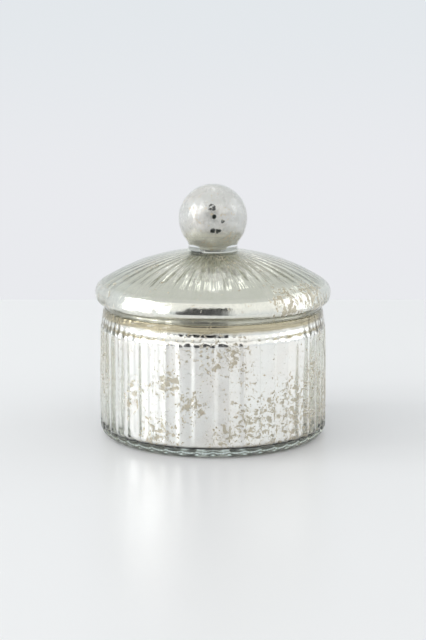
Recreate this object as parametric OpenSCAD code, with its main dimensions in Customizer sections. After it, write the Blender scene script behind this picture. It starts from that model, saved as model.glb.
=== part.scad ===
// Low ribbed jar of silvered glass with a lift-off domed lid and a ball knob,
// holding one tealight. Millimetres, +Z up, origin at the middle of the foot.

/* [Jar] */
// Radius over the crests of the reeds
jar_r = 48; // [44:0.5:54]
// Height of the jar up to its flat lip
jar_h = 53.6; // [50:0.2:62]
// Number of vertical reeds around the jar
reed_count = 45; // [36:1:54]
// Depth of the grooves between the reeds
reed_depth = 0.75; // [0.55:0.05:1]
// Height of the plain shoulder above the reeds
shoulder_h = 6.4; // [5:0.2:9]
// Rounding of the edge around the foot
foot_round = 4.4; // [3:0.1:5]
// Thickness of the jar wall under a crest
jar_wall = 3.4; // [3:0.1:3.8]
// Thickness of the jar floor
floor_t = 3.4; // [3:0.1:5]

/* [Lid] */
// How far the rolled rim stands out beyond the reeds
rim_overhang = 1.6; // [1:0.1:2.4]
// Rise of the dome from its edge to its crown
dome_h = 13.7; // [11:0.1:16]
// Exponent of the dome curve, where 2 is a parabola
dome_power = 2.2; // [2:0.05:2.6]
// Thickness of the lid glass
lid_wall = 3.2; // [2.9:0.1:3.5]
// Depth of the flange that drops into the mouth of the jar
flange_depth = 5; // [3:0.1:6]

/* [Knob] */
// Radius of the ball
knob_r = 14.36; // [12.5:0.02:16]
// Radius of the straight collar under the ball
collar_r = 10.3; // [9:0.1:10.8]
// Height of the collar up to where the ball starts
collar_h = 3.1; // [2:0.1:5]
// Thickness of the ball's glass
knob_wall = 2.8; // [2.2:0.1:3.2]

/* [Tealight] */
// Radius of the aluminium cup over its rim
cup_r = 19; // [18:0.1:20]
// Height of the aluminium cup
cup_h = 16; // [14:0.5:18]
// Height of the wax above the underside of the cup
wax_h = 12.2; // [10:0.1:13]
// Length of wick that stands out of the wax
wick_out = 6; // [3:0.5:8]

/* [Fits] */
// Thickness given to the silvering and its lacquer
film_t = 0.25; // [0.15:0.05:0.35]
// Gap under the lid and under the tealight
rest_gap = 0.05; // [0.02:0.01:0.1]
// Radial play of the lid flange in the mouth
flange_play = 0.6; // [0.4:0.1:0.9]

/* [Hidden] */
$fn = 96;

glass_colour = [0.80, 0.85, 0.83, 0.45];
silver_colour = [0.87, 0.86, 0.82];
bond_colour = [0.42, 0.43, 0.40];
aluminium_colour = [0.78, 0.79, 0.80];
wax_colour = [0.95, 0.93, 0.87];
tin_colour = [0.62, 0.62, 0.60];
wick_colour = [0.92, 0.89, 0.80];

// Jar: reeds, shoulder, lip and hollow
groove_r = jar_r - reed_depth;
reed_top = jar_h - shoulder_h;
lip_r = jar_r - 2.5;
mouth_r = lip_r - 2.4;
recess_r = jar_r - 13;
recess_h = 0.6;
hollow_r = jar_r - jar_wall;
hollow_round = 2;
mouth_neck_h = 3.4;
slope_h = 5.6;
film_margin = 1;

// Centre distance and radius of the circles whose outer arcs are the reeds
half_pitch = 180 / reed_count;
reed_centre = (pow(jar_r, 2) - pow(groove_r, 2)) / (2 * (jar_r - groove_r * cos(half_pitch)));
reed_arc_r = jar_r - reed_centre;

// Lid: seat, rolled rim, dome and flange
seat_z = jar_h + rest_gap;
flange_out_r = mouth_r - flange_play;
flange_in_r = flange_out_r - 2;
flange_z = seat_z - flange_depth;
cove_h = 2.5;
rim_rx = 2.6;
rim_rz = 4.2;
rim_cr = jar_r + rim_overhang - rim_rx;
rim_cz = seat_z + cove_h + rim_rz;
dome_edge_z = rim_cz + 4.1;
rim_join_angle = 68;
knob_seat_r = collar_r + 0.7;
knob_seat_z = dome_z(knob_seat_r);
ledge_z = seat_z + 3.2;
rim_in_r = rim_cr + rim_rx - 3.2;
rim_turn_rx = 1.97;
rim_turn_rz = 3.9;
rim_tuck_rz = 1.65;
rim_turn_z = ledge_z + rim_tuck_rz;

// Knob
bond_t = 0.25;
neck_r = collar_r - 6.7;
knob_base_z = knob_seat_z + bond_t;
knob_cz = knob_base_z + collar_h + sqrt(pow(knob_r, 2) - pow(collar_r, 2));

// Tealight
tealight_z = floor_t + film_t + rest_gap;
cup_wall = 0.4;
cup_roll = 0.45;
cup_foot_round = 1;
cup_body_r = cup_r - cup_roll;
cup_foot_r = cup_body_r - 0.6;
wick_r = 0.9;
tin_t = 0.3;
tin_r = 7;
crimp_r = 1.5;
crimp_h = 3.2;
meniscus = 0.5;

// Height of the dome's outer surface at radius r
function dome_z(r) = dome_edge_z + dome_h * (1 - pow(r / jar_r, dome_power));

// Points along an arc of an ellipse, from angle a0 to a1
function arc(cx, cy, rx, ry, a0, a1, n = 8) =
    [for (i = [0:n]) let (a = a0 + (a1 - a0) * i / n) [cx + rx * cos(a), cy + ry * sin(a)]];

// The same points in the opposite order
function backwards(points) = [for (i = [len(points) - 1:-1:0]) points[i]];

// Outer surface that trims the reeds: rounded foot, and rounded ends under the shoulder
function reed_envelope() = concat(
    [[0, recess_h], [recess_r, recess_h], [recess_r + recess_h, 0]],
    arc(jar_r - foot_round, foot_round, foot_round, foot_round, -90, 0, 7),
    arc(jar_r - 1.6, reed_top - 2, 1.6, 2.4, 0, 90, 6),
    [[0, reed_top + 0.4]]);

// Plain shoulder from under the ends of the reeds up to the flat lip
function shoulder_outline() = concat(
    [[0, reed_top - 3.4], [groove_r - 0.4, reed_top - 3.4], [groove_r + 0.25, reed_top - 1.8]],
    arc(lip_r, jar_h - cove_h, 1.1, cove_h, 0, 90, 6),
    [[0, jar_h]]);

// Inside of the jar from its axis up to height top, moved inwards by inset
function jar_inside(inset, top) = concat(
    [[0, floor_t + inset]],
    arc(hollow_r - hollow_round, floor_t + hollow_round, hollow_round - inset, hollow_round - inset,
        -90, 0, 5),
    [[hollow_r - inset, jar_h - mouth_neck_h - slope_h], [mouth_r - inset, jar_h - mouth_neck_h],
        [mouth_r - inset, top]]);

// Inside of the lid from height bottom up to its axis, moved inwards by inset
function lid_inside(inset, bottom) = concat(
    [[flange_in_r - inset, bottom]],
    arc(flange_in_r + 0.9, ledge_z - 0.9, 0.9 + inset, 0.9 + inset, 180, 90, 3),
    arc(rim_in_r - rim_turn_rx, rim_turn_z, rim_turn_rx - inset, rim_tuck_rz - inset, -80, -20, 3),
    arc(rim_in_r - rim_turn_rx, rim_turn_z, rim_turn_rx - inset, rim_turn_rz - inset, 0, 70, 7),
    [for (r = [rim_in_r - 6:-4.3:1]) [r, dome_z(r) - lid_wall - inset]],
    [[0, dome_z(0) - lid_wall - inset]]);

// Outside of the lid from the foot of its flange up to its axis
function lid_outside() = concat(
    [[flange_in_r, flange_z], [flange_out_r - 0.5, flange_z], [flange_out_r, flange_z + 0.5]],
    [[flange_out_r, seat_z - 0.4], [flange_out_r + 0.4, seat_z], [lip_r - 0.4, seat_z]],
    arc(rim_cr, seat_z + 0.3, 1.6, cove_h - 0.3, 180, 90, 5),
    arc(rim_cr, rim_cz, rim_rx, rim_rz, -90, rim_join_angle, 14),
    [for (r = [jar_r - 1:-4:knob_seat_r + 1]) [r, dome_z(r)]],
    [[knob_seat_r, knob_seat_z], [0, knob_seat_z]]);

module reeded_prism() {
    linear_extrude(reed_top + 1) {
        union() {
            circle(r = groove_r - 1);
            for (i = [0:reed_count - 1])
                rotate((i + 0.5) * 2 * half_pitch) translate([reed_centre, 0]) circle(r = reed_arc_r);
        }
    }
}

module jar_glass() color(glass_colour) {
    difference() {
        union() {
            rotate(90) intersection() {
                reeded_prism();
                rotate_extrude() polygon(reed_envelope());
            }
            rotate_extrude() polygon(shoulder_outline());
        }
        rotate_extrude() polygon(concat(jar_inside(0, jar_h + 1), [[0, jar_h + 1]]));
    }
}

module jar_silvering() color(silver_colour) {
    film_top = jar_h - film_margin;
    rotate_extrude() polygon(concat(jar_inside(0, film_top), backwards(jar_inside(film_t, film_top))));
}

module lid_glass() color(glass_colour) {
    rotate_extrude() polygon(concat(lid_outside(), backwards(lid_inside(0, flange_z))));
}

module lid_silvering() color(silver_colour) {
    film_foot = flange_z + film_margin;
    rotate_extrude() polygon(concat(lid_inside(0, film_foot), backwards(lid_inside(film_t, film_foot))));
}

// The ball's hollow with its neck, open at the foot of the collar
module knob_inside(inset) {
    translate([0, 0, knob_cz]) sphere(r = knob_r - knob_wall - inset);
    translate([0, 0, knob_base_z - 1]) cylinder(r = neck_r - inset, h = knob_cz - knob_base_z);
}

// Everything level with or under height z, as far out as the ball
module below(z) {
    translate([0, 0, z - knob_r]) cylinder(r = knob_r + 1, h = knob_r);
}

module knob_glass() color(glass_colour) {
    difference() {
        union() {
            translate([0, 0, knob_cz]) sphere(r = knob_r);
            translate([0, 0, knob_base_z]) cylinder(r = collar_r, h = knob_cz - knob_base_z);
        }
        knob_inside(0);
        below(knob_base_z);
    }
}

module knob_silvering() color(silver_colour) {
    difference() {
        knob_inside(0);
        knob_inside(film_t);
        below(knob_base_z + 0.3);
    }
}

// Ring under the collar, squeezed out into a small fillet around it
module knob_bond() color(bond_colour) {
    rotate_extrude() polygon([[neck_r + 0.4, knob_seat_z], [knob_seat_r - 0.1, knob_seat_z],
        [collar_r, knob_seat_z + 0.8], [collar_r, knob_base_z], [neck_r + 0.4, knob_base_z]]);
}

// Outline of the cup from its axis up to height top, moved inwards by inset
function cup_wall_outline(inset, top) = concat(
    [[0, inset]],
    arc(cup_foot_r - cup_foot_round, cup_foot_round, cup_foot_round - inset, cup_foot_round - inset,
        -90, 0, 4),
    [[cup_body_r - inset, top]]);

module tealight_cup() color(aluminium_colour) {
    wall_top = cup_h - cup_roll;
    translate([0, 0, tealight_z]) rotate_extrude() {
        union() {
            polygon(concat(cup_wall_outline(0, wall_top), backwards(cup_wall_outline(cup_wall, wall_top))));
            translate([cup_body_r, wall_top]) circle(r = cup_roll);
        }
    }
}

// Inside radius of the cup at height z
function cup_inside_r(z) = cup_foot_r - cup_wall
    + (cup_body_r - cup_foot_r) * (z - cup_foot_round) / (cup_h - cup_roll - cup_foot_round);

module tealight_wax() color(wax_colour) {
    translate([0, 0, tealight_z]) difference() {
        rotate_extrude() polygon(concat(
            [[0, cup_wall]],
            arc(cup_foot_r - cup_foot_round, cup_foot_round, cup_foot_round - cup_wall,
                cup_foot_round - cup_wall, -90, 0, 4),
            [[cup_inside_r(wax_h + meniscus), wax_h + meniscus], [cup_inside_r(wax_h) - 1.5, wax_h],
                [0, wax_h]]));
        translate([0, 0, cup_wall - 1]) cylinder(r = tin_r, h = 1 + tin_t);
        translate([0, 0, cup_wall]) cylinder(r = crimp_r, h = crimp_h);
        cylinder(r = wick_r, h = wax_h + 1);
    }
}

module wick_sustainer() color(tin_colour) {
    translate([0, 0, tealight_z + cup_wall]) difference() {
        union() {
            cylinder(r = tin_r, h = tin_t);
            cylinder(r = crimp_r, h = crimp_h);
        }
        translate([0, 0, -1]) cylinder(r = wick_r, h = crimp_h + 2);
    }
}

module tealight_wick() color(wick_colour) {
    translate([0, 0, tealight_z + cup_wall]) cylinder(r = wick_r, h = wax_h - cup_wall + wick_out);
}

jar_glass();
jar_silvering();
lid_glass();
lid_silvering();
knob_glass();
knob_silvering();
knob_bond();
tealight_cup();
tealight_wax();
wick_sustainer();
tealight_wick();
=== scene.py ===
"""Looks of a low ribbed jar of antiqued mercury glass, with a domed lid, a ball knob and a tealight inside.

Lengths are in metres, in the CAD's own frame: +Z up, origin at the middle of the foot, front towards -Y.
Each glass body is one closed turned mesh. Its mirror film is a second turned mesh whose outer side lies a
hair inside the glass, so that there is no air between the two and the silver is seen through the glass.
"""

import math

import bpy
import numpy as np
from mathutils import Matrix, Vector


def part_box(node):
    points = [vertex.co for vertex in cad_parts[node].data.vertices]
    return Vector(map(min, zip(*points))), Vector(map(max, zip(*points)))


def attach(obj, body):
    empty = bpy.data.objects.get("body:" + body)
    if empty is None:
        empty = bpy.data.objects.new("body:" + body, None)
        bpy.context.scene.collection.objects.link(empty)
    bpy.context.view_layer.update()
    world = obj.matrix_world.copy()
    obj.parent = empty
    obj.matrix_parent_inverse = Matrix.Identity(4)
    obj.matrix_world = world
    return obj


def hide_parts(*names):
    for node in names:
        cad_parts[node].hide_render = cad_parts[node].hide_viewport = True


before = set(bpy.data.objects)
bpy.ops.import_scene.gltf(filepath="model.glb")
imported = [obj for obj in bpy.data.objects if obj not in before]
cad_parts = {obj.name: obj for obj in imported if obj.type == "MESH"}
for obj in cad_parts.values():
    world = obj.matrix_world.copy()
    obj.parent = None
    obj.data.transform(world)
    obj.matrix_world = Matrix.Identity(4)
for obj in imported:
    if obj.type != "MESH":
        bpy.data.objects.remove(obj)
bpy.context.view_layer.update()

MM = 0.001


# ---------------------------------------------------------------- sizes, driven by the CAD nodes

def reach(node):
    """Largest distance of a CAD node from the jar's axis."""
    return max(math.hypot(v.co.x, v.co.y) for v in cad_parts[node].data.vertices)


def heights(node):
    """Lowest and highest height of a CAD node."""
    low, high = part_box(node)
    return low.z, high.z


# Jar
JAR_R = reach("jar_glass")
JAR_H = heights("jar_glass")[1]
HOLLOW_R = reach("jar_silvering")
FLOOR_Z, JAR_FILM_TOP = heights("jar_silvering")
REEDS = 45
REED_DEPTH = 0.75 * MM
REED_TAPER = 0.6 * MM
REED_TOP = JAR_H - 6.4 * MM
ARCH_H = 3.2 * MM
BAND_STEP = 0.3 * MM
FOOT_ROUND = 4.4 * MM
LIP_R = JAR_R - 2.5 * MM
LIP_ROUND_W = 1.1 * MM
LIP_ROUND_H = 2.5 * MM
MOUTH_R = LIP_R - 2.4 * MM
MOUTH_NECK_H = 3.4 * MM
SLOPE_H = 5.6 * MM
HOLLOW_ROUND = 2 * MM
RECESS_R = JAR_R - 13 * MM
RECESS_H = 0.6 * MM

# Lid
RIM_R = reach("lid_glass")
FLANGE_Z, CROWN_Z = heights("lid_glass")
LID_FILM_FOOT = heights("lid_silvering")[0]
SEAT_Z = JAR_H + 0.05 * MM
FLANGE_OUT_R = MOUTH_R - 0.6 * MM
FLANGE_IN_R = FLANGE_OUT_R - 2 * MM
COVE_H = 2.5 * MM
COVE_RX = 1.6 * MM
COVE_STEP = 0.3 * MM
RIM_RX = 2.6 * MM
RIM_RZ = 4.2 * MM
RIM_JOIN_ANGLE = 68
RIM_CR = RIM_R - RIM_RX
RIM_CZ = SEAT_Z + COVE_H + RIM_RZ
DOME_EDGE_Z = RIM_CZ + 4.1 * MM
DOME_POWER = 2.2
LID_WALL = 3.2 * MM
FLUTE_DEPTH = 0.3 * MM

# The rim's hollow: it turns down inside the rim and is tucked in to a flat ledge over the seat
LEDGE_Z = SEAT_Z + 3.2 * MM
RIM_IN_R = RIM_R - 3.2 * MM
RIM_TURN_RX = 1.97 * MM
RIM_TURN_RZ = 3.9 * MM
RIM_TUCK_RZ = 1.65 * MM
RIM_TURN_Z = LEDGE_Z + RIM_TUCK_RZ

# Knob
BALL_R = reach("knob_glass")
KNOB_BASE, KNOB_TOP = heights("knob_glass")
KNOB_FILM_FOOT = heights("knob_silvering")[0]
BALL_Z = KNOB_TOP - BALL_R
COLLAR_R = 10.3 * MM
NECK_R = COLLAR_R - 6.7 * MM
KNOB_WALL = 2.8 * MM
BALL_HOLLOW_R = BALL_R - KNOB_WALL
SEAT_R = COLLAR_R + 0.7 * MM
DOME_H = (CROWN_Z - DOME_EDGE_Z) / (1 - (SEAT_R / JAR_R) ** DOME_POWER)

# Tealight
CUP_R = reach("tealight_cup")
CUP_Z, CUP_TOP = heights("tealight_cup")
CUP_ROLL = 0.45 * MM
CUP_WALL = 0.3 * MM
CUP_FOOT_R = CUP_R - CUP_ROLL - 0.6 * MM
PLEATS = 60
PLEAT_DEPTH = 0.1 * MM
WAX_TOP = heights("tealight_wax")[1]
MENISCUS = 0.5 * MM
WICK_R = reach("tealight_wick")
WICK_Z, WICK_TOP = heights("tealight_wick")
WICK_STRANDS = 3
WICK_TWIST = 42
WICK_LEAN = 2.6 * MM

# Mirror films: how far their glass side lies inside the glass, and their air side out of it
BITE = 0.03 * MM
FILM_T = 0.15 * MM


# ---------------------------------------------------------------- outlines, as points (radius, height)

def smooth(low, high, x):
    """0 below low, 1 above high, and a smooth step between, for numbers or arrays."""
    t = np.clip((x - low) / (high - low), 0, 1)
    return t * t * (3 - 2 * t)


def arc(centre_r, centre_z, radius_r, radius_z, start, end, count):
    """Points along an arc of an ellipse, with angles in degrees."""
    angles = [math.radians(start + (end - start) * i / count) for i in range(count + 1)]
    return [(centre_r + radius_r * math.cos(a), centre_z + radius_z * math.sin(a)) for a in angles]


def rounded(points, radius, count=4):
    """The path with each inner corner turned into an arc of about that radius."""
    out = [points[0]]
    for before, corner, after in zip(points, points[1:-1], points[2:]):
        a = np.subtract(before, corner)
        b = np.subtract(after, corner)
        cut = min(radius, 0.45 * np.linalg.norm(a), 0.45 * np.linalg.norm(b))
        start = corner + a / np.linalg.norm(a) * cut
        end = corner + b / np.linalg.norm(b) * cut
        for i in range(count + 1):
            t = i / count
            out.append(tuple((1 - t) ** 2 * start + 2 * t * (1 - t) * np.array(corner) + t ** 2 * end))
    return out + [points[-1]]


def spaced(path, step):
    """The path with its long straight stretches divided, so that no two points are over step apart."""
    out = [path[0]]
    for (r0, z0), (r1, z1) in zip(path, path[1:]):
        parts = max(1, math.ceil(math.hypot(r1 - r0, z1 - z0) / step - 0.01))
        out += [(r0 + (r1 - r0) * i / parts, z0 + (z1 - z0) * i / parts) for i in range(1, parts + 1)]
    return out


def dome_z(r):
    """Height of the dome's outside at radius r."""
    return DOME_EDGE_Z + DOME_H * (1 - (r / JAR_R) ** DOME_POWER)


def under_dome_z(r):
    """Height of the dome's underside at radius r."""
    return dome_z(r) - LID_WALL


def crest_r(z):
    """Radius over the reeds' crests at height z, drawn in a little from height start to the shoulder."""
    start = 14 * MM
    return JAR_R - REED_TAPER * (max(z - start, 0) / (REED_TOP - start)) ** 2


def jar_outside():
    """From the middle of the foot out round the base, up the wall and over the shoulder to the lip."""
    base = rounded([(0, RECESS_H), (RECESS_R, RECESS_H), (RECESS_R + RECESS_H, 0),
                    (JAR_R - FOOT_ROUND - 1 * MM, 0)], 0.4 * MM)
    corner = arc(JAR_R - FOOT_ROUND, FOOT_ROUND, FOOT_ROUND, FOOT_ROUND, -90, 0, 22)
    wall = [(crest_r(z), z) for z in np.linspace(FOOT_ROUND, REED_TOP, 75)[1:]]
    band = crest_r(REED_TOP) - BAND_STEP
    shoulder = [(band, REED_TOP + 0.8 * MM), (band - 0.2 * MM, REED_TOP + 3 * MM)]
    lip = arc(LIP_R, JAR_H - LIP_ROUND_H, LIP_ROUND_W, LIP_ROUND_H, 0, 90, 14)
    return spaced(base, 3 * MM) + corner + wall + spaced(shoulder + lip, 0.6 * MM)


def jar_inside(top):
    """From height top in the mouth, out over the slope under it and down to the middle of the floor."""
    knee = JAR_H - MOUTH_NECK_H
    slope = []
    # An S curve, nearly upright at both ends
    for t in np.linspace(0, 1, 22):
        share = t - 0.9 * math.sin(2 * math.pi * t) / (2 * math.pi)
        slope.append((MOUTH_R + (HOLLOW_R - MOUTH_R) * share, knee - SLOPE_H * t))
    corner = arc(HOLLOW_R - HOLLOW_ROUND, FLOOR_Z + HOLLOW_ROUND, HOLLOW_ROUND, HOLLOW_ROUND, 0, -90, 10)
    wall = spaced([(MOUTH_R, top)] + slope, 0.6 * MM) + spaced([slope[-1]] + corner, 0.8 * MM)[1:]
    return wall + spaced([corner[-1], (0, FLOOR_Z)], 3 * MM)[1:]


def lid_inside(foot):
    """From the middle of the dome's underside out to the rim's hollow and down the flange to height foot."""
    knee_r = RIM_IN_R - 6 * MM
    under = [(r, under_dome_z(r)) for r in np.linspace(0, knee_r - 3 * MM, 62)]
    turn = arc(RIM_IN_R - RIM_TURN_RX, RIM_TURN_Z, RIM_TURN_RX, RIM_TURN_RZ, 70, 0, 20)
    tuck = arc(RIM_IN_R - RIM_TURN_RX, RIM_TURN_Z, RIM_TURN_RX, RIM_TUCK_RZ, 0, -80, 14)
    bend = rounded([under[-1], (knee_r, under_dome_z(knee_r)), turn[0]], 3 * MM, 12)
    ledge = rounded([tuck[-1], (FLANGE_IN_R, LEDGE_Z), (FLANGE_IN_R, foot)], 0.9 * MM)
    return under[:-1] + spaced(bend, 0.6 * MM)[:-1] + turn + tuck[1:-1] + spaced(ledge, 0.6 * MM)


def lid_outside():
    """From the foot of the flange out under the rim, round it and up to the middle of the crown."""
    flange = rounded([(FLANGE_IN_R + 0.3 * MM, FLANGE_Z), (FLANGE_OUT_R, FLANGE_Z), (FLANGE_OUT_R, SEAT_Z),
                      (RIM_CR - COVE_RX - 0.1 * MM, SEAT_Z)], 0.5 * MM)
    cove = arc(RIM_CR, SEAT_Z + COVE_STEP, COVE_RX, COVE_H - COVE_STEP, 180, 95, 14)
    rim = arc(RIM_CR, RIM_CZ, RIM_RX, RIM_RZ, -86, RIM_JOIN_ANGLE, 44)
    dome = [(r, dome_z(r)) for r in np.linspace(JAR_R - 1 * MM, SEAT_R + 0.5 * MM, 60)]
    seat = spaced([(SEAT_R, CROWN_Z), (0, CROWN_Z)], 1.5 * MM)
    return spaced(flange, 0.5 * MM) + cove + rim + dome + seat


def knob_inside(foot):
    """From the top of the ball's hollow down through the neck to height foot."""
    throat_r = NECK_R + 1.4 * MM
    low = -math.degrees(math.acos(throat_r / BALL_HOLLOW_R))
    ball = arc(0, BALL_Z, BALL_HOLLOW_R, BALL_HOLLOW_R, 90, low, 90)
    throat_z = ball[-1][1]
    neck = [ball[-1], (NECK_R + 0.35 * MM, throat_z - 1 * MM), (NECK_R, throat_z - 2.4 * MM), (NECK_R, foot)]
    return ball[:-1] + spaced(neck, 0.4 * MM)


def knob_outside():
    """From the neck out under the collar's foot, up the collar and over the ball to its top."""
    join_z = BALL_Z - math.sqrt(BALL_R ** 2 - COLLAR_R ** 2)
    collar = rounded([(NECK_R + 0.3 * MM, KNOB_BASE), (COLLAR_R, KNOB_BASE), (COLLAR_R, join_z - 0.9 * MM),
                      (COLLAR_R + 0.1 * MM, join_z - 0.4 * MM)], 0.35 * MM)
    low = 3 - math.degrees(math.acos(COLLAR_R / BALL_R))
    ball = arc(0, BALL_Z, BALL_R, BALL_R, low, 90, 90)
    return spaced(collar, 0.35 * MM) + ball


# ---------------------------------------------------------------- relief of the glass

def hand_made(angle, along, size):
    """Slow waviness of hand-worked glass, up to about size either way.

    Each wave is (waves round the axis, radians per metre along it, phase, share of size).
    """
    waves = ((3, 210, 0.3, 0.35), (5, -130, 1.7, 0.25), (8, 330, 2.9, 0.2), (13, -470, 4.1, 0.12),
             (2, 620, 5.3, 0.08))
    return size * sum(share * np.sin(k * angle + m * along + p) for k, m, p, share in waves)


def rib_phase(angle):
    """0 on a rib's crest and 1 in the groove beside it. A groove faces the front."""
    turn = (angle + math.pi / 2) * REEDS / (2 * math.pi)
    return np.abs(2 * (turn - np.floor(turn)) - 1)


def groove_shape(phase):
    """0 on the crest and 1 in the groove: round crests that meet in a narrow, softened groove."""
    soft = 0.12
    full = math.hypot(1, soft)
    return (full - np.hypot(1 - phase ** 2, soft)) / (full - soft)


def reed_relief(angle, radius, height):
    """Reeds from the foot up to their arched ends, then the plain shoulder."""
    phase = rib_phase(angle)
    arch = REED_TOP - ARCH_H * (1 - np.sqrt(np.maximum(1 - phase ** 2, 0)))
    reeded = 1 - smooth(arch - 0.8 * MM, arch + 0.5 * MM, height)
    depth = REED_DEPTH * smooth(0.1 * MM, 1.4 * MM, height)
    band = BAND_STEP * (1 - smooth(REED_TOP - 0.4 * MM, REED_TOP + 0.8 * MM, height))
    free = smooth(0.2 * MM, 3 * MM, height) * (1 - smooth(JAR_H - 2.5 * MM, JAR_H - 0.5 * MM, height))
    wobble = (hand_made(angle, height, 0.06 * MM) - 0.06 * MM) * free
    return wobble - reeded * depth * groove_shape(phase) - (1 - reeded) * band


def jar_inside_relief(angle, radius, height):
    """The inside wall's own waviness, with fine upright ripples that drift round it."""
    off_floor = smooth(FLOOR_Z + 1 * MM, FLOOR_Z + 5 * MM, height)
    off_mouth = 1 - smooth(JAR_H - 5 * MM, JAR_H - 2 * MM, height)
    fine = np.sin(2 * REEDS * angle + 3 * np.sin(4 * angle))
    coarse = np.sin(1.4 * REEDS * angle + 2 * np.sin(7 * angle))
    waves = hand_made(angle + 1, height, 0.09 * MM) + 0.03 * MM * (fine + coarse)
    return off_floor * off_mouth * waves


def dome_flutes(angle, radius, height):
    """Flutes on the lid's underside, deep by the knob and gone before the rim."""
    on_dome = smooth(LEDGE_Z + 1 * MM, LEDGE_Z + 3 * MM, height)
    fade = smooth(6 * MM, 12 * MM, radius) * (1 - smooth(22 * MM, 46 * MM, radius))
    uneven = 1 + hand_made(angle * 3, radius * 2, 0.8)
    flutes = FLUTE_DEPTH * fade * uneven * (rib_phase(angle) ** 2 - 0.4)
    return on_dome * (flutes + hand_made(angle, radius, 0.08 * MM) * smooth(4 * MM, 14 * MM, radius))


def lid_wobble(angle, radius, height):
    """Waviness of the lid's outside, away from the seat."""
    free = smooth(RIM_CZ - 4 * MM, RIM_CZ - 2 * MM, height) * smooth(SEAT_R, SEAT_R + 8 * MM, radius)
    return (hand_made(angle + 2, radius, 0.07 * MM) - 0.07 * MM) * free


def ball_wobble(angle, radius, height):
    """Waviness of the ball's hollow."""
    free = smooth(BALL_Z - 8 * MM, BALL_Z - 2 * MM, height) * smooth(0, 6 * MM, radius)
    return hand_made(angle, height * 1.5, 0.12 * MM) * free


# ---------------------------------------------------------------- turned meshes

def turned(name, sections, around, ring=False):
    """Turns a profile about +Z into a closed mesh object.

    sections is a list of (path, relief, offset), one after another along the profile, with the material on
    the left of each path. relief(angle, radius, height) says how far the surface stands out of the material
    at each point, and offset adds to it. A ring's profile is a loop. Any other starts and ends on the axis.
    """
    angles = np.arange(around) * 2 * math.pi / around
    radii, levels = [], []
    for path, relief, offset in sections:
        r, z = np.array(path).T
        dr, dz = np.gradient(r), np.gradient(z)
        length = np.hypot(dr, dz)
        push = np.full((around, len(path)), offset)
        if relief is not None:
            push = push + relief(angles[:, None], r[None, :], z[None, :])
        radii.append((r + push * dz / length) * (r > 0))
        levels.append(z - push * dr / length)
    radii = np.concatenate(radii, axis=1)
    levels = np.concatenate(levels, axis=1)
    verts = np.stack([radii * np.cos(angles)[:, None], radii * np.sin(angles)[:, None], levels], axis=2)
    index = np.arange(radii.size).reshape(radii.shape)
    after = np.roll(index, -1, axis=0)
    if ring:
        ends = (index, after, np.roll(after, -1, axis=1), np.roll(index, -1, axis=1))
        faces = np.stack(ends, axis=2).reshape(-1, 4).tolist()
    else:
        ends = (index[:, 1:-2], after[:, 1:-2], after[:, 2:-1], index[:, 2:-1])
        faces = np.stack(ends, axis=2).reshape(-1, 4).tolist()
        first, last = int(index[0, 0]), int(index[0, -1])
        faces += [[first, b, a] for a, b in zip(index[:, 1].tolist(), after[:, 1].tolist())]
        faces += [[last, a, b] for a, b in zip(index[:, -2].tolist(), after[:, -2].tolist())]
    return mesh_object(name, verts.reshape(-1, 3), faces)


def mirror_shell(name, path, relief, around):
    """Closed thin shell on the air side of a glass wall, along a path with the glass on its left."""
    def into_glass(angle, radius, height):
        return -relief(angle, radius, height)

    sides = [(path, relief, FILM_T), (path[::-1], into_glass, BITE)]
    if path[-1][0] == 0:
        sides.reverse()
    return turned(name, sides, around)


def mesh_object(name, verts, faces):
    """A smooth-shaded object with no loose vertices and its normals outwards."""
    used = sorted({i for face in faces for i in face})
    place = {old: new for new, old in enumerate(used)}
    mesh = bpy.data.meshes.new(name)
    mesh.from_pydata([tuple(verts[i]) for i in used], [], [[place[i] for i in face] for face in faces])
    if signed_volume(mesh) < 0:
        mesh.flip_normals()
    mesh.polygons.foreach_set("use_smooth", [True] * len(mesh.polygons))
    piece = bpy.data.objects.new(name, mesh)
    bpy.context.scene.collection.objects.link(piece)
    return piece


def signed_volume(mesh):
    """Volume of a closed mesh, negative if its faces point inwards."""
    mesh.calc_loop_triangles()
    corners = np.zeros(len(mesh.loop_triangles) * 3, np.int32)
    mesh.loop_triangles.foreach_get("vertices", corners)
    coords = np.zeros(len(mesh.vertices) * 3)
    mesh.vertices.foreach_get("co", coords)
    a, b, c = coords.reshape(-1, 3)[corners.reshape(-1, 3)].transpose(1, 0, 2)
    return float(np.einsum("ij,ij->i", a, np.cross(b, c)).sum() / 6)


# ---------------------------------------------------------------- materials

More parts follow.
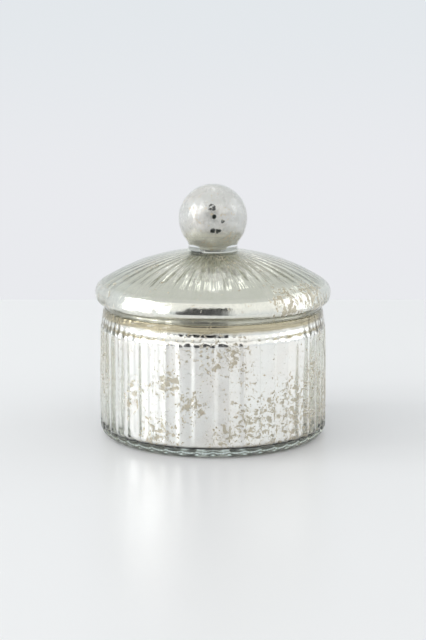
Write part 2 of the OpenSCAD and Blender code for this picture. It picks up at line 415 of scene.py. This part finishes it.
class Nodes:
    """A node tree with one main node, and short calls that add nodes to it and return their outputs."""

    def __init__(self, owner, main, coordinates):
        owner.use_nodes = True
        self.nodes = owner.node_tree.nodes
        self.links = owner.node_tree.links
        self.main = self.nodes[main]
        self.place = self.nodes.new("ShaderNodeTexCoord").outputs[coordinates]

    def put(self, socket, value):
        """Links value to socket if it's another node's output, and else sets it."""
        if isinstance(value, bpy.types.NodeSocket):
            self.links.new(value, socket)
        else:
            socket.default_value = value

    def set(self, **values):
        """Sets or links the main node's inputs, with _ for each space in their names."""
        for name, value in values.items():
            self.put(self.main.inputs[name.replace("_", " ")], value)

    def math(self, operation, a, b=0.0):
        """An operation on two numbers."""
        node = self.nodes.new("ShaderNodeMath")
        node.operation = operation
        self.put(node.inputs[0], a)
        self.put(node.inputs[1], b)
        return node.outputs[0]

    def most(self, *values):
        """The largest of several outputs."""
        out = values[0]
        for value in values[1:]:
            out = self.math("MAXIMUM", out, value)
        return out

    def step(self, value, low, high, to_low=0.0, to_high=1.0):
        """A smooth step from to_low to to_high as value goes from low to high."""
        node = self.nodes.new("ShaderNodeMapRange")
        node.interpolation_type = "SMOOTHSTEP"
        for socket, number in zip(node.inputs[:5], (value, low, high, to_low, to_high)):
            self.put(socket, number)
        return node.outputs[0]

    def mix(self, factor, a, b):
        """Colour a where factor is 0 and b where it's 1."""
        node = self.nodes.new("ShaderNodeMix")
        node.data_type = "RGBA"
        for socket, value in zip((node.inputs[0], node.inputs[6], node.inputs[7]), (factor, a, b)):
            self.put(socket, value)
        return node.outputs[2]

    def noise(self, scale, detail=2.0, roughness=0.5, place=None, output="Fac"):
        """A smooth noise with about scale lumps in each unit of place, and detail octaves of finer ones."""
        node = self.nodes.new("ShaderNodeTexNoise")
        self.put(node.inputs["Vector"], self.place if place is None else place)
        node.inputs["Scale"].default_value = scale
        node.inputs["Detail"].default_value = detail
        node.inputs["Roughness"].default_value = roughness
        return node.outputs[output]

    def cells(self, scale, place=None):
        """Distance to the nearest scattered point, and a random number for each point's cell."""
        node = self.nodes.new("ShaderNodeTexVoronoi")
        self.put(node.inputs["Vector"], self.place if place is None else place)
        node.inputs["Scale"].default_value = scale
        split = self.nodes.new("ShaderNodeSeparateColor")
        self.links.new(node.outputs["Color"], split.inputs[0])
        return node.outputs["Distance"], split.outputs[0]

    def vector_math(self, operation, a, b, c=None):
        """An operation on two or three vectors."""
        node = self.nodes.new("ShaderNodeVectorMath")
        node.operation = operation
        self.put(node.inputs[0], a)
        self.put(node.inputs[1], b)
        if c is not None:
            self.put(node.inputs[2], c)
        return node.outputs["Value" if operation in ("DISTANCE", "DOT_PRODUCT") else "Vector"]

    def warped(self, scale, amount):
        """The object's places, moved up to half of amount each way by a noise."""
        centred = self.vector_math("SUBTRACT", self.noise(scale, 3.0, 0.6, output="Color"), (0.5, 0.5, 0.5))
        return self.vector_math("MULTIPLY_ADD", centred, (amount, amount, amount), self.place)

    def near(self, point, radius):
        """1 near a point of the object, falling to 0 at radius from it."""
        return self.step(self.vector_math("DISTANCE", self.place, point), 0.25 * radius, radius, 1.0, 0.0)

    def parts(self, vector):
        """The x, y and z of a vector."""
        node = self.nodes.new("ShaderNodeSeparateXYZ")
        self.put(node.inputs[0], vector)
        return node.outputs

    def height(self):
        """The height of each point."""
        return self.parts(self.place)[2]

    def streaks(self, fineness, stretch):
        """A noise drawn out along the radii from the object's axis."""
        flat = self.vector_math("NORMALIZE", self.vector_math("MULTIPLY", self.place, (1, 1, 0)), (0, 0, 0))
        turned_place = self.vector_math("MULTIPLY_ADD", self.place, (0, 0, stretch),
                                        self.vector_math("MULTIPLY", flat, (fineness,) * 3))
        return self.noise(1, 3.0, 0.6, turned_place)

    def bump(self, height, distance, normal=None):
        """The normal of a surface that stands out by distance where height is 1, on top of another normal."""
        node = self.nodes.new("ShaderNodeBump")
        node.inputs["Distance"].default_value = distance
        self.put(node.inputs["Height"], height)
        if normal is not None:
            self.put(node.inputs["Normal"], normal)
        return node.outputs[0]


class Shader(Nodes):
    """A new material with one Principled node."""

    def __init__(self, name):
        self.material = bpy.data.materials.new(name)
        super().__init__(self.material, "Principled BSDF", "Object")


def shade(colour, factor):
    """A colour with its brightness scaled."""
    return tuple(c * factor for c in colour[:3]) + (1,)


GLASS_TINT = (0.985, 0.99, 0.985, 1)
GLASS_DEPTH_TINT = (0.45, 0.70, 0.62, 1)
GLASS_DENSITY = 4.5
SILVER = (0.985, 0.98, 0.955, 1)
WARM_SILVER = (0.96, 0.91, 0.86, 1)
DULL_SILVER = (0.87, 0.865, 0.80, 1)
OLIVE_SILVER = (0.74, 0.75, 0.65, 1)
# Painted reflection: near black film colour that stands for the dark room mirrored in the knob's ball.
PAINTED_DARK_REFLECTION = (0.03, 0.035, 0.03, 1)
TAN = (1.0, 0.89, 0.67, 1)
BROWN = (0.83, 0.67, 0.45, 1)
SEAM_GOLD = (0.60, 0.53, 0.37, 1)
PALE_GOLD = (0.98, 0.94, 0.78, 1)
KNOB_GOLD = (1.0, 0.97, 0.84, 1)
TABLE_WHITE = (0.84, 0.845, 0.855, 1)


def clear_glass(name, tint):
    """Thick clear glass with slow surface waves and a few pits."""
    s = Shader(name)
    s.set(Base_Color=tint, Roughness=0.02, IOR=1.5, Transmission_Weight=1.0)
    far, chance = s.cells(260)
    pits = s.math("MULTIPLY", s.step(far, 0.06, 0.12, 1.0, 0.0), s.step(chance, 0.8, 0.82))
    waves = s.bump(s.noise(70, 2.0, 0.4), 0.25 * MM)
    s.set(Normal=s.bump(pits, -0.05 * MM, waves))
    depth = s.nodes.new("ShaderNodeVolumeAbsorption")
    depth.inputs["Color"].default_value = GLASS_DEPTH_TINT
    depth.inputs["Density"].default_value = GLASS_DENSITY
    s.links.new(depth.outputs[0], s.nodes["Material Output"].inputs["Volume"])
    return s.material


def worn_away(s, ragged, clusters, spread):
    """How worn each place is, and 1 where the silver has gone: blots, specks and a crackle."""
    worn = s.step(s.noise(38, 2.0, 0.5), 0.42, 0.72, 0.0, spread)
    for point, radius, strength in clusters:
        worn = s.most(worn, s.math("MULTIPLY", s.near(point, radius), strength))

    def spots(scale, largest):
        """A spot round each scattered point, of a random size up to largest where it's fully worn."""
        far, size = s.cells(scale, ragged)
        reach_out = s.math("MULTIPLY", worn, s.math("MULTIPLY", size, largest))
        return s.step(s.math("SUBTRACT", reach_out, far), -0.1, 0.06)

    crackle = s.math("ADD", s.noise(560, 4.0, 0.62, ragged), s.math("MULTIPLY", worn, 0.18))
    gone = s.most(spots(460, 0.6), spots(1000, 0.5), s.step(crackle, 0.62, 0.72))
    left = s.step(s.noise(1000, 3.0, 0.6, ragged), 0.56, 0.64, 1.0, 0.25)
    return worn, s.math("MULTIPLY", gone, left)


def gilded(s, silver, gilt, metal):
    """The silver's colour with its golden end, and how metallic it is."""
    from_z, to_z, golden, golden_metal = gilt
    bright = s.mix(s.step(s.noise(75, 4.0, 0.6), 0.38, 0.7, 0.0, 0.6), silver, WARM_SILVER)
    level = s.math("ADD", s.height(), s.math("MULTIPLY", s.noise(140, 3.0), 3 * MM))
    lines = s.noise(1, 3.0, 0.6, s.vector_math("MULTIPLY", s.place, (50, 50, 1300)))
    golden = s.mix(s.step(lines, 0.35, 0.62), golden, shade(golden, 0.8))
    golden_part = s.step(level, from_z, to_z)
    return s.mix(golden_part, bright, golden), s.step(golden_part, 0.0, 1.0, metal, golden_metal)


def streaked(s, bright, silver, flow, ripple):
    """A dome's colour and bump with streaks that run outwards, a fine grain and an olive outer part."""
    on_dome = s.step(s.height(), RIM_TURN_Z + 2.8 * MM, RIM_TURN_Z + 4.6 * MM)
    outer = s.step(s.height(), under_dome_z(26 * MM), under_dome_z(38 * MM), 0.0, 0.7)
    bright = s.mix(s.math("MULTIPLY", outer, on_dome), bright, OLIVE_SILVER)
    run = s.math("MULTIPLY", s.streaks(11, 60), on_dome)
    bright = s.mix(s.step(run, 0.38, 0.66, 0.0, flow), bright, OLIVE_SILVER)
    grain = s.noise(700, 3.0, 0.7)
    bright = s.mix(s.step(grain, 0.35, 0.7, 0.0, 0.5), bright, shade(silver, 0.86))
    return bright, s.bump(grain, 0.03 * MM, s.bump(run, 0.3 * MM, ripple))


def painted_reflection_spots(s, dark_reflection_spots):
    """1 in ragged spots around each (point, radius), where the film gets a painted reflection of the dark
    room.
    """
    close = s.math("MULTIPLY", s.most(*[s.near(point, radius) for point, radius in dark_reflection_spots]), 0.7)
    return s.step(s.math("ADD", close, s.noise(430, 3.0, 0.7)), 1.13, 1.19)


def silvering(name, silver, clusters, spread, haze, gilt, metal=1.0, flow=0.0, dark_reflection_spots=(),
              ripple_height=0.12 * MM):
    """Mirror film with patches where the silver has gone and the tan lacquer shows.

    clusters are (point, radius, strength) places where it's worn most, and spread is how worn it is
    elsewhere. haze is the range of a noise and the roughness at its ends. metal is how metallic the silver
    is. gilt is the heights between which it turns golden, with the golden colour and how metallic that is.
    flow is how much it's streaked outwards. The spots, given as (point, radius), are where the film is
    painted near black and not metallic: a painted reflection of the dark room. ripple_height is the height of
    its slow ripples.
    """
    s = Shader(name)
    worn, gone = worn_away(s, s.warped(300, 1.6 * MM), clusters, spread)
    tan = s.mix(s.step(worn, 0.35, 0.9), BROWN, TAN)
    tan = s.mix(s.step(s.noise(700, 3.0, 0.6), 0.3, 0.7), tan, shade(TAN, 0.8))
    bright, shine = gilded(s, silver, gilt, metal)
    ripple = s.bump(s.noise(130, 2.0, 0.5), ripple_height)
    if flow:
        bright, ripple = streaked(s, bright, silver, flow, ripple)
    colour = s.mix(s.step(gone, 0.02, 0.8, 0.0, 0.74), bright, tan)
    shine = s.math("MINIMUM", s.step(gone, 0.1, 0.9, 1.0, 0.55), shine)
    # Painted reflection: in these spots the film turns near black and not metallic, standing for the dark
    # room it would mirror.
    if dark_reflection_spots:
        painted_dark_spot = painted_reflection_spots(s, dark_reflection_spots)
        colour = s.mix(painted_dark_spot, colour, PAINTED_DARK_REFLECTION)
        shine = s.math("MULTIPLY", shine, s.step(painted_dark_spot, 0.0, 1.0, 1.0, 0.0))
    fog = s.step(s.noise(220, 5.0, 0.7), *haze)
    s.set(Base_Color=colour, Metallic=shine, Normal=s.bump(gone, -0.03 * MM, ripple))
    s.set(Roughness=s.math("MAXIMUM", fog, s.math("MULTIPLY", gone, 0.5)))
    return s.material


def cement():
    """Pale grey cement with a ragged dark stain on its left."""
    s = Shader("knob_cement_grey")
    stain = s.math("MULTIPLY", s.near(around_axis(-42, CROWN_Z, COLLAR_R), 7 * MM), 0.3)
    patch = s.step(s.math("ADD", s.noise(500, 4.0, 0.6), stain), 0.62, 0.72)
    s.set(Base_Color=s.mix(patch, (0.84, 0.86, 0.83, 1), (0.09, 0.10, 0.09, 1)))
    s.set(Roughness=s.step(patch, 0.0, 1.0, 0.3, 0.6), Normal=s.bump(s.noise(900, 3.0), 0.15 * MM))
    return s.material


def drawn_aluminium():
    """Aluminium with fine lines round the cup."""
    s = Shader("tealight_tin_aluminium")
    brushed = s.noise(1, 4.0, 0.6, s.vector_math("MULTIPLY", s.place, (300, 300, 2500)))
    tone = s.step(s.noise(120, 3.0), 0.3, 0.7)
    s.set(Base_Color=s.mix(tone, (0.86, 0.86, 0.87, 1), (0.76, 0.77, 0.78, 1)), Metallic=1.0)
    s.set(Roughness=s.step(brushed, 0.3, 0.7, 0.22, 0.36), Normal=s.bump(brushed, 0.04 * MM))
    return s.material


def candle_wax():
    """Cloudy white wax that light soaks into."""
    s = Shader("tealight_wax_white")
    cloud = s.step(s.noise(160, 4.0, 0.6), 0.35, 0.7)
    s.set(Base_Color=s.mix(cloud, (0.90, 0.88, 0.82, 1), (0.84, 0.82, 0.75, 1)), Subsurface_Weight=0.5,
          Subsurface_Scale=3 * MM, Subsurface_Radius=(1.0, 0.8, 0.6))
    s.set(Roughness=s.step(cloud, 0.0, 1.0, 0.32, 0.48), Normal=s.bump(s.noise(450, 4.0), 0.05 * MM))
    return s.material


def waxed_cotton():
    """Pale cotton with upright fibres."""
    s = Shader("wick_cotton")
    fibre = s.noise(1, 4.0, 0.7, s.vector_math("MULTIPLY", s.place, (4000, 4000, 900)))
    s.set(Base_Color=s.mix(fibre, (0.80, 0.76, 0.66, 1), (0.93, 0.91, 0.84, 1)), Roughness=0.85)
    s.set(Normal=s.bump(fibre, 0.08 * MM))
    return s.material


def tinplate():
    """Grey stamped tinplate with a mottled finish."""
    s = Shader("tinplate")
    tone = s.step(s.noise(300, 4.0), 0.3, 0.7)
    s.set(Base_Color=s.mix(tone, (0.62, 0.62, 0.60, 1), (0.50, 0.50, 0.48, 1)), Metallic=1.0)
    s.set(Roughness=s.step(tone, 0.0, 1.0, 0.25, 0.45), Normal=s.bump(s.noise(1500, 2.0), 0.02 * MM))
    return s.material


def pale_table():
    """Smooth white table top, slightly mottled."""
    s = Shader("pale_table")
    mottle = s.step(s.noise(3, 3.0), 0.3, 0.7)
    s.set(Base_Color=s.mix(mottle, TABLE_WHITE, shade(TABLE_WHITE, 0.985)))
    s.set(Roughness=0.3, IOR=1.38)
    return s.material


def dark_room():
    """Near black with soft, uneven edges, and clear beyond them."""
    s = Shader("dark_room")
    s.set(Base_Color=(0.01, 0.01, 0.012, 1), Roughness=0.9)
    drift = s.vector_math("SUBTRACT", s.noise(2.2, 3.0, 0.6, output="Color"), (0.5, 0.5, 0.5))
    across, _, up = s.parts(s.vector_math("MULTIPLY_ADD", drift, (0.5, 0.5, 0.5), s.place))
    leaning = s.math("ADD", across, s.math("MULTIPLY", up, -0.45))
    sides = s.math("MULTIPLY", s.step(leaning, -1.35, -1.15), s.step(across, 0.25, 0.70, 1.0, 0.0))
    s.set(Alpha=s.math("MULTIPLY", sides, s.step(up, 0.95, 1.25, 1.0, 0.0)))
    return s.material


# ---------------------------------------------------------------- places for wear

def around_axis(azimuth, height, radius):
    """The point at that height and radius, azimuth degrees right of the front."""
    a = math.radians(azimuth)
    return (radius * math.sin(a), -radius * math.cos(a), height)


def on_wall(azimuth, height):
    """A point on the wall of the jar's hollow."""
    return around_axis(azimuth, height, HOLLOW_R)


def on_dome(azimuth, radius):
    """A point on the dome's underside."""
    return around_axis(azimuth, under_dome_z(radius), radius)


def on_ball(azimuth, elevation):
    """A point on the wall of the ball's hollow, elevation degrees above its middle."""
    e = math.radians(elevation)
    return around_axis(azimuth, BALL_Z + BALL_HOLLOW_R * math.sin(e), BALL_HOLLOW_R * math.cos(e))


# ---------------------------------------------------------------- pieces

def give(piece, material, body, node):
    """Gives a piece its material and its body, and hides the CAD node that it stands for."""
    piece.data.materials.append(material)
    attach(piece, body)
    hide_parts(node)


def make_jar():
    """The reeded jar, and the mirror on its wall and floor."""
    around = REEDS * 16
    glass = turned("reeded_jar", [(jar_outside(), reed_relief, 0.0),
                                  (jar_inside(JAR_H), jar_inside_relief, 0.0)], around)
    give(glass, clear_glass("jar_glass_clear", GLASS_TINT), "jar", "jar_glass")
    film = mirror_shell("jar_mirror", jar_inside(JAR_FILM_TOP), jar_inside_relief, around)
    clusters = [
        (on_wall(24, 12 * MM), 21 * MM, 0.72),
        (on_wall(45, 20 * MM), 18 * MM, 0.72),
        (on_wall(8, 8 * MM), 12 * MM, 0.75),
        (on_wall(-12, 21 * MM), 11 * MM, 0.7),
        (on_wall(-23, 30 * MM), 8 * MM, 1.0),
        (on_wall(-28, 9 * MM), 14 * MM, 0.75),
        (on_wall(-42, 26 * MM), 8 * MM, 0.7),
        (on_wall(64, 30 * MM), 12 * MM, 0.7),
        (on_wall(110, 12 * MM), 18 * MM, 0.9),
        (on_wall(160, 22 * MM), 20 * MM, 1.0),
        (on_wall(-150, 12 * MM), 16 * MM, 0.8),
        (on_wall(-110, 26 * MM), 14 * MM, 0.9),
    ]
    silver = silvering("jar_silver", SILVER, clusters, 0.66, (0.35, 0.8, 0.06, 0.24),
                       (JAR_H - 3.5 * MM, JAR_H - 1.5 * MM, SEAM_GOLD, 1.0))
    give(film, silver, "jar", "jar_silvering")


def make_lid():
    """The domed lid, and the mirror on its underside."""
    around = REEDS * 12
    glass = turned("domed_lid", [(lid_inside(FLANGE_Z), dome_flutes, 0.0),
                                 (lid_outside(), lid_wobble, 0.0)], around)
    give(glass, clear_glass("lid_glass_clear", GLASS_TINT), "lid", "lid_glass")
    film = mirror_shell("lid_mirror", lid_inside(LID_FILM_FOOT), dome_flutes, around)
    clusters = [
        (around_axis(40, RIM_CZ, RIM_CR), 12 * MM, 0.8),
        (around_axis(60, RIM_CZ, RIM_CR), 14 * MM, 0.9),
        (on_dome(8, 14 * MM), 7 * MM, 0.75),
        (on_dome(20, 22 * MM), 6 * MM, 0.6),
        (on_dome(170, 36 * MM), 14 * MM, 0.8),
    ]
    silver = silvering("lid_silver", DULL_SILVER, clusters, 0.4, (0.35, 0.8, 0.06, 0.2),
                       (LEDGE_Z + 2.5 * MM, LEDGE_Z + 1 * MM, PALE_GOLD, 0.7), flow=0.7)
    give(film, silver, "lid", "lid_silvering")


def make_knob():
    """The ball knob, and the mirror inside it that turns pale gold below, with spots of painted dark
    reflection.
    """
    around = 192
    glass = turned("ball_knob", [(knob_inside(KNOB_BASE), ball_wobble, 0.0), (knob_outside(), None, 0.0)],
                   around)
    give(glass, clear_glass("knob_glass_clear", GLASS_TINT), "lid", "knob_glass")
    film = mirror_shell("knob_mirror", knob_inside(KNOB_FILM_FOOT), ball_wobble, around)
    clusters = [
        (around_axis(-20, BALL_Z - 11 * MM, 7 * MM), 6 * MM, 0.8),
        (around_axis(40, BALL_Z - 8 * MM, 9 * MM), 6 * MM, 0.7),
    ]
    # Spots of painted dark reflection, mostly at the ball's front, which faces the dark room.
    dark_reflection_spots = [(on_ball(-3, 27), 3.6 * MM), (on_ball(2, 9), 2.1 * MM), (on_ball(19, 0), 1.9 * MM),
             (on_ball(0, -18), 2.4 * MM), (on_ball(11, -19), 2.5 * MM), (on_ball(150, 20), 2.6 * MM)]
    silver = silvering("knob_silver", SILVER, clusters, 0.3, (0.36, 0.6, 0.05, 0.42),
                       (BALL_Z - 1.5 * MM, BALL_Z - 5 * MM, KNOB_GOLD, 0.1), metal=0.26, dark_reflection_spots=dark_reflection_spots,
                       ripple_height=0.6 * MM)
    give(film, silver, "lid", "knob_silvering")


def make_bond():
    """The cement squeezed out under the collar, as a ragged ring."""
    bottom = CROWN_Z - 0.02 * MM
    top = KNOB_BASE + 0.02 * MM
    inner = NECK_R + 0.4 * MM
    outline = [(inner, bottom), (COLLAR_R + 0.15 * MM, bottom), (COLLAR_R + 0.1 * MM, bottom + 0.2 * MM),
               (COLLAR_R - 0.05 * MM, bottom + 0.45 * MM), (COLLAR_R - 0.05 * MM, top), (inner, top)]

    def ragged(angle, radius, height):
        out = smooth(COLLAR_R - 0.1 * MM, COLLAR_R + 0.3 * MM, radius)
        return out * (hand_made(angle * 4, height, 0.2 * MM) - 0.1 * MM)

    path = spaced(outline + [outline[0]], 0.25 * MM)[:-1]
    ring = turned("knob_cement", [(path, ragged, 0.0)], 192, ring=True)
    give(ring, cement(), "lid", "knob_bond")


# ---------------------------------------------------------------- the tealight

def make_cup():
    """Drawn aluminium cup with a rolled rim and shallow pleats."""
    wall_top = CUP_TOP - CUP_ROLL
    body_r = CUP_R - CUP_ROLL
    dish_r = 12 * MM
    dish_z = CUP_Z + 0.35 * MM
    outside = rounded([(0, dish_z), (dish_r, dish_z), (dish_r + 0.6 * MM, CUP_Z), (CUP_FOOT_R, CUP_Z),
                       (body_r, wall_top - 0.6 * MM)], 0.9 * MM)
    roll = arc(body_r, wall_top, CUP_ROLL, CUP_ROLL, -80, 200, 16)
    inside = rounded([(body_r - CUP_WALL, wall_top - 0.4 * MM), (CUP_FOOT_R - CUP_WALL, CUP_Z + CUP_WALL),
                      (0, CUP_Z + CUP_WALL)], 0.8 * MM)

    def pleats(angle, radius, height):
        off_floor = smooth(CUP_Z + 1.5 * MM, CUP_Z + 4 * MM, height)
        off_rim = 1 - smooth(wall_top - 3 * MM, wall_top, height)
        off_dish = smooth(10 * MM, 15 * MM, radius)
        return off_floor * off_rim * off_dish * PLEAT_DEPTH * np.cos(PLEATS * angle)

    def inner_pleats(angle, radius, height):
        return -pleats(angle, radius, height)

    cup = turned("tealight_tin", [(spaced(outside, 0.8 * MM), pleats, -PLEAT_DEPTH),
                                  (roll, None, 0.0),
                                  (spaced(inside, 0.8 * MM), inner_pleats, -0.05 * MM)], 360)
    give(cup, drawn_aluminium(), "tealight", "tealight_cup")


def make_wax():
    """Poured wax that climbs a little at the cup's wall and around the wick."""
    bottom = CUP_Z + CUP_WALL + 0.05 * MM
    level = WAX_TOP - MENISCUS
    foot_r = CUP_FOOT_R - CUP_WALL - 0.1 * MM
    edge_r = foot_r + (CUP_R - CUP_ROLL - CUP_FOOT_R) * (WAX_TOP - CUP_Z) / (CUP_TOP - CUP_Z)
    side = rounded([(0, bottom), (foot_r, bottom), (edge_r, WAX_TOP - 0.05 * MM)], 0.8 * MM)
    climb = [(edge_r - 0.15 * MM, WAX_TOP)]
    climb += [(edge_r - 2.2 * MM * t, level + MENISCUS * (1 - t) ** 3) for t in np.linspace(0.12, 1, 9)]
    middle = [(r, level + 0.6 * MM * math.exp(-(r / (1.6 * MM)) ** 2)) for r in
              np.linspace(edge_r - 2.8 * MM, 0, 34)]

    def uneven(angle, radius, height):
        return smooth(level - 0.3 * MM, level, height) * hand_made(angle, radius * 3, 0.09 * MM)

    wax = turned("tealight_candle", [(spaced(side, 0.9 * MM), None, 0.0), (climb + middle, uneven, 0.0)], 192)
    give(wax, candle_wax(), "tealight", "tealight_wax")


def make_wick():
    """Braided cotton wick that leans a little at its top."""
    around, rows = 36, 130
    bottom = WICK_Z + 0.05 * MM
    verts = []
    for j in range(rows):
        t = j / (rows - 1)
        lean = WICK_LEAN * float(smooth(0.55, 1.15, t))
        taper = 1 - 0.25 * float(smooth(0.97, 1.0, t))
        for i in range(around):
            a = 2 * math.pi * i / around
            left = math.cos(WICK_STRANDS * a + WICK_TWIST * t)
            right = math.cos(WICK_STRANDS * a - WICK_TWIST * t)
            r = WICK_R * (0.80 + 0.20 * max(left, right)) * taper
            verts.append((lean + r * math.cos(a), r * math.sin(a), bottom + (WICK_TOP - bottom) * t))
    faces = [[j * around + i, j * around + (i + 1) % around, (j + 1) * around + (i + 1) % around,
              (j + 1) * around + i] for j in range(rows - 1) for i in range(around)]
    faces += [list(range(around))[::-1], [(rows - 1) * around + i for i in range(around)]]
    wick = mesh_object("braided_wick", verts, faces)
    give(wick, waxed_cotton(), "tealight", "tealight_wick")


def dress_sustainer():
    """Tinplate finish for the CAD's own wick holder."""
    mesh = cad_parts["wick_sustainer"].data
    mesh.materials.clear()
    mesh.materials.append(tinplate())


# ---------------------------------------------------------------- stage, lights and camera

TABLE_BACK = 333 * MM

# The room: from below the horizon up, then high up behind the camera, then the ceiling and the way to it
HORIZON = (0.815, 0.825, 0.855, 1)
SKYLINE = (0.77, 0.805, 0.835, 1)
UPPER_WALLS = (1.03, 1.03, 1.01, 1)
CEILING = (0.71, 0.72, 0.715, 1)
TO_CEILING = (0, 0.34, 0.94)

# The room's dark stretch behind the camera, in metres
DARK_LEFT, DARK_RIGHT = -1.8, 1
DARK_LOW, DARK_TOP = -0.1, 1.6
DARK_Y = -1.6

# Each window is (place, width, power in watts) and faces the middle of the jar
JAR_MIDDLE = (0, 0, 0.05)
WINDOW_H = 0.95
WINDOWS = (
    ((-1.40, -1.18, 0.62), 0.15, 1.8),
    ((-1.40, -0.57, 0.62), 0.12, 2.5),
    ((-1.40, 0.0, 0.62), 0.12, 1.9),
)

CAMERA_BACK = 628.6 * MM
CAMERA_UP = 163.3 * MM
CAMERA_PITCH = 10.42


def panel(name, corners, material):
    """A flat stage panel."""
    mesh = bpy.data.meshes.new(name)
    mesh.from_pydata(corners, [], [list(range(len(corners)))])
    mesh.materials.append(material)
    piece = bpy.data.objects.new(name, mesh)
    bpy.context.scene.collection.objects.link(piece)
    return piece


def make_table():
    """A table top that ends behind the jar."""
    side, front = 2.5, -1
    corners = [(-side, front, 0), (side, front, 0), (side, TABLE_BACK, 0), (-side, TABLE_BACK, 0)]
    panel("table_top", corners, pale_table())


def make_room():
    """Pale surroundings, brightest high up behind the camera and dimmer in the ceiling over the jar."""
    world = bpy.data.worlds.new("soft_room")
    n = Nodes(world, "Background", "Generated")
    _, back, up = n.parts(n.place)
    walls = n.mix(n.step(up, -0.1, 0.04), HORIZON, SKYLINE)
    upper_front = n.math("MULTIPLY", n.step(up, 0.1, 0.4), n.step(back, 0.15, -0.35))
    walls = n.mix(upper_front, walls, UPPER_WALLS)
    overhead = n.step(n.vector_math("DOT_PRODUCT", n.place, TO_CEILING), 0.66, 0.76)
    n.set(Color=n.mix(overhead, walls, CEILING))
    bpy.context.scene.world = world


def make_dark_card():
    """A dark stretch of room behind the camera, seen only in reflections."""
    corners = [(DARK_LEFT, DARK_Y, DARK_LOW), (DARK_RIGHT, DARK_Y, DARK_LOW),
               (DARK_RIGHT, DARK_Y, DARK_TOP), (DARK_LEFT, DARK_Y, DARK_TOP)]
    card = panel("dark_room_card", corners, dark_room())
    card.visible_camera = False
    card.visible_shadow = False
    card.visible_diffuse = False


def make_light(name, place, aim, size, power):
    """A rectangular light that faces aim, with its power in watts."""
    light = bpy.data.lights.new(name, "AREA")
    light.shape = "RECTANGLE"
    light.size, light.size_y = size
    light.energy = power
    lamp = bpy.data.objects.new(name, light)
    lamp.location = place
    lamp.rotation_euler = (Vector(place) - Vector(aim)).to_track_quat("Z", "Y").to_euler()
    bpy.context.scene.collection.objects.link(lamp)
    return lamp


def make_lights():
    """Broad soft light from the right and left, a narrow strip overhead and tall windows on the left."""
    make_light("soft_fill", (1.30, 0.25, 0.70), JAR_MIDDLE, (1.1, 1.0), 2.6)
    make_light("overhead_light", (0.03, 0.72, 1.38), JAR_MIDDLE, (0.12, 0.5), 0.3)
    left_fill = make_light("left_fill", (-1.50, -0.10, 0.80), (-0.2, 0, 0), (1.0, 1.0), 5)
    left_fill.visible_glossy = False
    for number, (place, width, power) in enumerate(WINDOWS):
        make_light(f"window_light_{number}", place, JAR_MIDDLE, (width, WINDOW_H), power)


def make_camera():
    """An upright camera in front of the jar that looks down by CAMERA_PITCH degrees."""
    lens = bpy.data.cameras.new("camera")
    lens.lens = 85
    lens.sensor_width = 36
    camera = bpy.data.objects.new("camera", lens)
    camera.location = (0, -CAMERA_BACK, CAMERA_UP)
    camera.rotation_euler = (math.radians(90 - CAMERA_PITCH), 0, 0)
    bpy.context.scene.collection.objects.link(camera)
    bpy.context.scene.camera = camera


def set_light_paths():
    """Colours as they are, and enough bounces for light between a reed and the mirror behind it."""
    scene = bpy.context.scene
    scene.view_settings.view_transform = "Standard"
    scene.cycles.max_bounces = 24
    scene.cycles.glossy_bounces = 16
    scene.cycles.transmission_bounces = 24


make_camera()
make_jar()
make_lid()
make_knob()
make_bond()
make_cup()
make_wax()
make_wick()
dress_sustainer()
make_table()
make_room()
make_dark_card()
make_lights()
set_light_paths()
